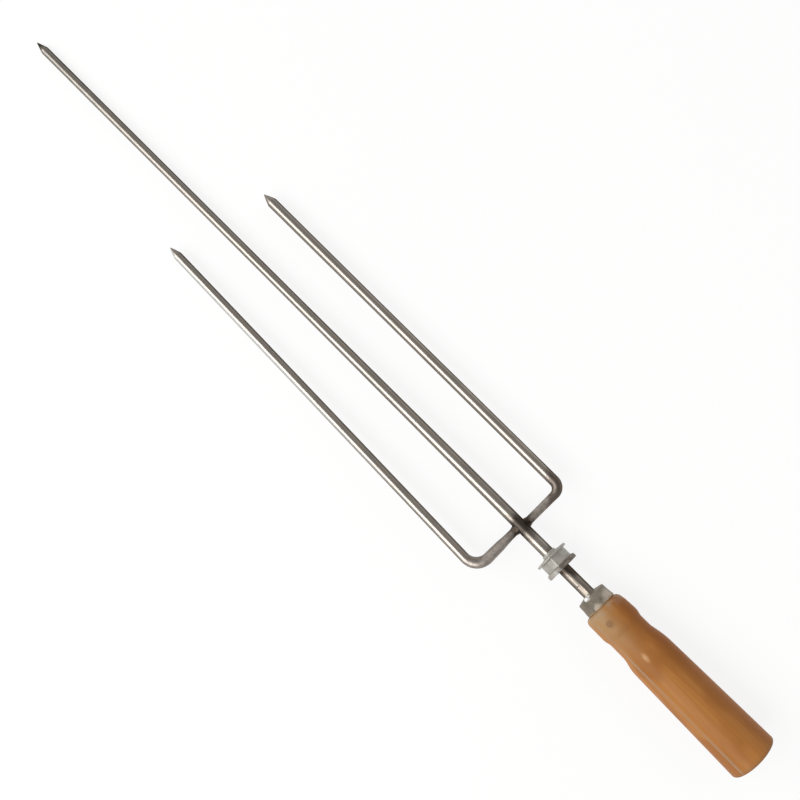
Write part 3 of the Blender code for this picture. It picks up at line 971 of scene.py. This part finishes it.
# %% [markdown]
# A swept rod is a row of rings along that path. Each ring carries its own width and height, so a straight
# stretch needs only a few. Bridging a ring to the one before it makes the rod's skin, and the two end rings
# are capped.

# %% Sweep a tine along its path
TINE_SIDES = 48


def tine_stations(corners, radius, bend, bend_swell, end_swell, point_length, arm_sizes):
    """Point, heading, distance from the root, half width and half height of every ring."""
    root, corner, tip = corners
    path = bent_path(root, corner, tip, bend)
    _, first, arm_length = path[0]
    stations = [(root + first * arm_length * part, first, arm_length * part, across, height)
                for part, across, height in arm_sizes]
    start_across, start_height = arm_sizes[-1][1:]
    for number, (point, heading, travelled) in enumerate(path[1:], 1):
        part = number / BEND_STEPS
        across = start_across + (radius - start_across) * part + bend_swell * sin(pi * part)
        height = start_height + (radius - start_height) * part
        stations.append((point, heading, travelled, across, height))
    bend_end, _, travelled = path[-1]
    heading = (tip - corner).normalized()
    length = (tip - bend_end).length
    end = 1.0 + end_swell / radius
    shares = [(1.0 * MM, 1.0), (0.5 * length, 1.0), (length - point_length - 1.0 * MM, end)]
    shares += [(length - point_length, 0.985 * end), (length - 0.5 * point_length, POINT_BULGE * end)]
    shares += [(length - 0.3 * MM, 0.11), (length, 0.055)]
    for distance, share in shares:
        size = radius * share
        stations.append((bend_end + heading * distance, heading, travelled + distance, size, size))
    return stations


def sweep(stations):
    """Rings at the stations, with the rod's two attributes, bridged from each to the next."""
    bm = bmesh.new()
    along, facing = rod_layers(bm)
    before = None
    for number, (point, heading, travelled, across, height) in enumerate(stations):
        level_side = heading.cross(Vector((0, 0, 1)))
        place = Matrix((level_side, heading.cross(level_side), heading)).transposed().to_4x4()
        place.translation = point
        cap = number in (0, len(stations) - 1)
        ring = ring_at(bm, place, across, height, TINE_SIDES, cap)
        for v in ring:
            offset = v.co - point
            v[along] = Vector((travelled, offset.dot(level_side), offset.z))
            v[facing] = Vector((0.0, offset.dot(level_side), offset.z)).normalized()
        if before:
            bmesh.ops.bridge_loops(bm, edges=ring_edges(before) + ring_edges(ring))
        before = ring
    return bm


# %% Make the side tines
TINE_POINT = 10.5 * MM
# (share of the arm, half width along the fork, half height), from the root to the bend
LEFT_SIZES = (
    (0.0, 2.8 * MM, 2.75 * MM), (0.30, 2.95 * MM, 2.75 * MM), (0.42, 3.15 * MM, 2.8 * MM),
    (0.55, 3.45 * MM, 2.8 * MM), (0.8, 3.6 * MM, 2.85 * MM), (1.0, 3.7 * MM, 3.0 * MM),
)
RIGHT_SIZES = (
    (0.0, 2.8 * MM, 2.75 * MM), (0.5, 2.8 * MM, 2.8 * MM), (0.92, 2.9 * MM, 2.8 * MM),
    (1.0, 3.0 * MM, 2.85 * MM),
)


def make_tine(name, node, side, arm, finish, arm_sizes, bend, bend_swell, end_swell=0.0):
    low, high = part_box(node)
    corners = tine_corners(node, arm, side, TINE_POINT)
    stations = tine_stations(
        corners, (high.z - low.z) / 2, bend, bend_swell, end_swell, TINE_POINT, arm_sizes
    )
    return make_piece(name, sweep(stations), finish, "fork", node)


# The left tine's steel carries the painted bright reflection on its left flank.
make_tine("left_tine_rod", "left_tine", 1, LEFT_ARM, glare_steel, LEFT_SIZES,
          bend=11.2 * MM, bend_swell=0.25 * MM)
make_tine("right_tine_rod", "right_tine", -1, RIGHT_ARM, rod_steel, RIGHT_SIZES,
          bend=6.8 * MM, bend_swell=0.15 * MM, end_swell=0.35 * MM)

# %% [markdown]
# ## Welds
# Each arm is welded all round to the side of the shaft. The bead is small and uneven: weld metal is laid in
# overlapping drops, which leave ripples. It starts as rings about the arm. The first ring is dropped onto
# the shaft's round side, the next ones draw in to the arm, and every drop swells them a little. The inner
# rings close it into a solid.

# %% Make the weld beads
BEAD_SIDES = 72
BEAD_GAP = 0.3 * MM
ARM_RADIUS = 2.8 * MM
DROPS = 11
# (rise from the shaft's side, width beyond the arm, swell of a drop) in mm, from the foot to the arm
BEAD_RINGS = ((0.0, 0.65, 0.22), (0.5, 0.45, 0.22), (1.2, 0.22, 0.16), (2.2, 0.06, 0.08), (2.9, 0.0, 0.0))
BEAD_CORE_RISES = (2.8, 0.0)


def bead_ring(bm, arm, side, radius, rise, swell, seed):
    """A ring about the arm at a rise above the shaft's side, swollen by the drops."""
    turn = Matrix.Rotation(-side * pi / 2, 4, "X")
    place = Matrix.Translation((arm, 0.0, 0.0)) @ turn
    ring = ring_at(bm, place, radius, radius, BEAD_SIDES)
    for v in ring:
        offset = Vector((v.co.x - arm, 0.0, v.co.z))
        angle = atan2(offset.z, offset.x)
        uneven = noise.noise(Vector((3 * cos(angle), 3 * sin(angle), seed)))
        drop = abs(sin(angle * DROPS / 2)) + 0.8 * uneven
        offset *= (radius + swell * drop) / radius
        v.co.x, v.co.z = arm + offset.x, offset.z
        on_shaft = (SHAFT_RADIUS ** 2 - min(abs(v.co.z), SHAFT_RADIUS) ** 2) ** 0.5
        v.co.y = side * (on_shaft + rise + BEAD_GAP)
    return ring


def make_weld(name, node, side, arm, seed):
    bm = bmesh.new()
    loops = [bead_ring(bm, arm, side, ARM_RADIUS + wide * MM, rise * MM, swell * MM, seed)
             for rise, wide, swell in BEAD_RINGS]
    loops += [bead_ring(bm, arm, side, ARM_RADIUS - 0.1 * MM, rise * MM, 0.0, seed)
              for rise in BEAD_CORE_RISES]
    for first, second in zip(loops, loops[1:] + loops[:1]):
        bmesh.ops.bridge_loops(bm, edges=ring_edges(first) + ring_edges(second))
    return make_piece(name, bm, burnt_steel, "fork", node)


make_weld("left_weld_bead", "left_weld", 1, LEFT_ARM, 1.7)
make_weld("right_weld_bead", "right_weld", -1, RIGHT_ARM, 6.3)

# %% [markdown]
# ## Bearing spool
# The spool rests in the notch of a grill, and the fork turns in it. It is one casting: two flanges and a hub.
# Its outline is spun as a closed loop, so that the bore and the rib in it are there too. The spin starts
# on the mould's parting line, where the two halves of the mould met and left a low ridge. A little noise on
# the radius takes the lathe-turned look away.

# %% Make the spool
SPOOL_SIDES = 120
SPOOL_HALF = 6.25 * MM
SPOOL_GAP = 0.25 * MM
HUB_RADIUS = 9.8 * MM
FRONT_FLANGE, REAR_FLANGE = 12.15 * MM, 11.7 * MM
RIB_HALF = 2.25 * MM
RIDGE_HEIGHT = 0.28 * MM
RIDGE_ANGLE = radians(4.5)
SPOOL_BORE = SHAFT_RADIUS + SPOOL_GAP


def spool_outline():
    """The closed outline: front nose and flange, hub, rear flange, and the bore with its rib."""
    half, front, rear = SPOOL_HALF, FRONT_FLANGE, REAR_FLANGE
    rib = SHAFT_RADIUS - GROOVE_DEPTH + SPOOL_GAP
    shape = [
        (half + 1.4 * MM, SPOOL_BORE), (half + 1.4 * MM, SPOOL_BORE + 0.5 * MM, 0.2 * MM),
        (half, SPOOL_BORE + 0.7 * MM), (half - 0.5 * MM, 0.6 * front), (half - 0.9 * MM, front, 0.7 * MM),
        (half - 2.4 * MM, front, 0.5 * MM), (half - 2.5 * MM, HUB_RADIUS, 0.6 * MM),
        (0.8 * MM, HUB_RADIUS + 0.1 * MM), (-half + 3.6 * MM, HUB_RADIUS, 0.5 * MM),
        (-half + 2.7 * MM, rear, 0.5 * MM), (-half, rear, 0.6 * MM),
        (-half, 0.6 * rear), (-half, SPOOL_BORE, 0.2 * MM),
        (-RIB_HALF, SPOOL_BORE), (-RIB_HALF, rib), (RIB_HALF, rib), (RIB_HALF, SPOOL_BORE),
    ]
    return [(SPOOL_STATION + point[0], *point[1:]) for point in shape]


def make_spool():
    bm = turned(spool_outline(), closed=True, sides=SPOOL_SIDES, start=PARTING_LEAN)
    for v in bm.verts:
        radius, angle = polar(v)
        if radius < SPOOL_BORE + 1.0 * MM:
            continue
        from_line = abs((angle - PARTING_LEAN + pi / 2) % pi - pi / 2)
        ridge = max(0.0, 1.0 - from_line / RIDGE_ANGLE) * RIDGE_HEIGHT
        lumps = noise.noise(v.co * 260) * 0.22 * MM + noise.noise(v.co * 90) * 0.25 * MM
        grow(v, (radius + ridge + lumps) / radius)
        v.co.x += noise.noise(v.co * 200 + Vector((5, 0, 0))) * 0.12 * MM
    return make_piece("spool_casting", bm, spool_metal, "spool", "bearing_spool")


make_spool()

# %% [markdown]
# ## Ferrule
# The ferrule is a cast cap over the spigot of the grip. It keeps the wood from splitting and carries a low
# cone round the shaft. It is spun like the spool, and then shaped by hand: its rim was peened onto the wood,
# so it flares out unevenly there. A small drop sits on the front rim, beside the shaft, and is painted
# near-white as a glint.

# %% Make the ferrule
CAP_BORE = SHAFT_RADIUS + 0.3 * MM
CAVITY_RADIUS = 8.8 * MM
CAVITY_DEPTH = 6.0 * MM
FLARE_LENGTH = 4.5 * MM
FLARE = 0.35 * MM


def make_ferrule():
    rear, tip = ferrule_low.x, ferrule_high.x
    outline = [
        (tip, CAP_BORE), (tip - 0.2 * MM, CAP_BORE + 0.6 * MM, 0.2 * MM),
        (tip - 1.4 * MM, 10.45 * MM, 0.8 * MM), (rear + 5.0 * MM, 10.65 * MM),
        (rear + 2.0 * MM, 10.8 * MM), (rear, 10.9 * MM, 0.3 * MM), (rear, CAVITY_RADIUS),
        (rear + CAVITY_DEPTH, CAVITY_RADIUS), (rear + CAVITY_DEPTH, CAP_BORE),
    ]
    bm = turned(outline, closed=True)
    for v in bm.verts:
        radius, angle = polar(v)
        if radius < CAVITY_RADIUS + 0.7 * MM:
            continue
        on_right = max(0.0, -sin(angle))
        flare = max(0.0, 1.0 - (v.co.x - rear) / FLARE_LENGTH) ** 2 * on_right * FLARE
        lumps = noise.noise(v.co * 210) * 0.28 * MM
        grow(v, (radius + flare + lumps) / radius)
    return make_piece("ferrule_casting", bm, ferrule_metal, "fork", "ferrule")


def make_glint_drop():
    """A drop painted near-white as a glint: a lumpy ball that is flattened, leaned and set on the front rim.
    """
    bm = bmesh.new()
    bmesh.ops.create_icosphere(bm, subdivisions=4, radius=1.0)
    for v in bm.verts:
        v.co *= 1.0 + 0.18 * noise.noise(v.co * 1.4)
    size = Matrix.Diagonal((1.8 * MM, 2.3 * MM, 3.2 * MM, 1.0))
    lean = Matrix.Rotation(radians(-16), 4, "X")
    place = Matrix.Translation((ferrule_high.x - 1.3 * MM, 2.8 * MM, 8.2 * MM))
    bmesh.ops.transform(bm, matrix=place @ lean @ size, verts=bm.verts[:])
    return make_piece("solder_drop", bm, glint_metal, "fork")


make_ferrule()
make_glint_drop()

# %% [markdown]
# ## Grip and pin
# The grip is turned: a long body, a shoulder, a waist for the fingers and a head. Its outline has sharp
# corners at the shoulder and round the waist, and wide bevels turn these into the soft curves left by a
# gouge. On the right the shoulder lies further forward and the head is worn down toward the ferrule.

# %% Make the grip
HANDLE_FRONT = ferrule_low.x - 0.05 * MM
HEAD_RADIUS = 14.45 * MM
WAIST_RADIUS = 13.4 * MM
SPIGOT_RADIUS = 8.5 * MM
BORE_RADIUS = SHAFT_RADIUS + 0.3 * MM
SHOULDER_SHIFT = 3.5 * MM
HEAD_WEAR = 1.9 * MM


def grip_outline():
    """Half the grip's outline, from the butt over body, waist, head and spigot into the bore."""
    butt, front = handle_low.x, HANDLE_FRONT
    bore_end = shaft_low.x - 0.3 * MM
    return [
        (butt, 0.0), (butt, 8.0 * MM), (butt, 16.5 * MM, 1.2 * MM), (butt + 4.0 * MM, 16.42 * MM),
        (butt + 40.0 * MM, 15.95 * MM), (butt + 71.0 * MM, 15.5 * MM),
        (butt + 79.5 * MM, 15.35 * MM, 3.0 * MM), (butt + 86.0 * MM, WAIST_RADIUS, 2.4 * MM),
        (butt + 98.6 * MM, WAIST_RADIUS, 1.0 * MM), (butt + 102.0 * MM, HEAD_RADIUS, 1.4 * MM),
        (front - 7.0 * MM, HEAD_RADIUS), (front, HEAD_RADIUS, 3.5 * MM), (front, SPIGOT_RADIUS),
        (handle_high.x, SPIGOT_RADIUS), (handle_high.x, BORE_RADIUS),
        (bore_end, BORE_RADIUS), (bore_end, 0.0),
    ]


def make_grip():
    """The turned grip, with the shoulder shifted forward and the head worn down on the right."""
    bm = turned(grip_outline())
    for v in bm.verts:
        radius, angle = polar(v)
        on_right = max(0.0, -sin(angle))
        from_shoulder = abs(v.co.x - handle_low.x - 85.0 * MM)
        v.co.x += SHOULDER_SHIFT * on_right * max(0.0, 1.0 - from_shoulder / (8.0 * MM))
        if radius > SPIGOT_RADIUS + 0.5 * MM:
            worn = max(0.0, 1.0 - (HANDLE_FRONT - v.co.x) / (13.0 * MM)) ** 2 * on_right * HEAD_WEAR
            grow(v, (radius - worn) / radius)
    return bm


grip = make_piece("handle_grip", make_grip(), wood, "fork", "handle")

# %% [markdown]
# The pin is a short turned nail with a slightly domed head, just under the surface of the grip's head. Its
# hole crosses a turned surface at an angle, where no spin could make it, so it is cut with a Boolean.

# %% Bore the pin's hole and make the pin
PIN_STATION = HANDLE_FRONT - 10.0 * MM
PIN_LEAN = radians(17)
PIN_RADIUS = 1.3 * MM
PIN_FOOT = -SHAFT_RADIUS - 4.5 * MM
PIN_TOP = HEAD_RADIUS - 0.05 * MM
PIN_SIDES = 40


def stand_up(bm):
    """Turns a shape made along X so that it stands in the head, leaning toward +Y."""
    across = Matrix.Rotation(-PIN_LEAN, 4, "X") @ Matrix.Rotation(-pi / 2, 4, "Y")
    bmesh.ops.transform(bm, matrix=Matrix.Translation((PIN_STATION, 0, 0)) @ across, verts=bm.verts[:])
    return bm


def bore_hole(piece, radius, foot, top):
    """Cuts a blind round hole with a Boolean and keeps its result as the piece's mesh."""
    bm = stand_up(turned([(foot, 0.0), (foot, radius), (top, radius), (top, 0.0)], sides=PIN_SIDES))
    bmesh.ops.remove_doubles(bm, verts=bm.verts[:], dist=MERGE)
    bmesh.ops.recalc_face_normals(bm, faces=bm.faces[:])
    drill_mesh = bpy.data.meshes.new("drill")
    bm.to_mesh(drill_mesh)
    bm.free()
    drill = bpy.data.objects.new("drill", drill_mesh)
    bpy.context.scene.collection.objects.link(drill)
    cut = piece.modifiers.new("pin hole", "BOOLEAN")
    cut.object, cut.solver = drill, "EXACT"
    solid = bpy.data.meshes.new_from_object(piece.evaluated_get(bpy.context.evaluated_depsgraph_get()))
    piece.modifiers.clear()
    piece.data = solid
    bpy.data.objects.remove(drill)
    print(f"{piece.name}: {len(solid.polygons)} faces after the hole")


bore_hole(grip, PIN_RADIUS + 0.04 * MM, PIN_FOOT - 0.3 * MM, HEAD_RADIUS + 4.0 * MM)
pin_outline = [
    (PIN_FOOT, 0.0), (PIN_FOOT + 2.0 * MM, PIN_RADIUS), (PIN_TOP - 0.2 * MM, PIN_RADIUS, 0.15 * MM),
    (PIN_TOP - 0.05 * MM, 0.6 * PIN_RADIUS), (PIN_TOP, 0.0),
]
pin = stand_up(turned(pin_outline, sides=PIN_SIDES))
make_piece("grip_pin", pin, pin_steel, "fork", "handle_pin")
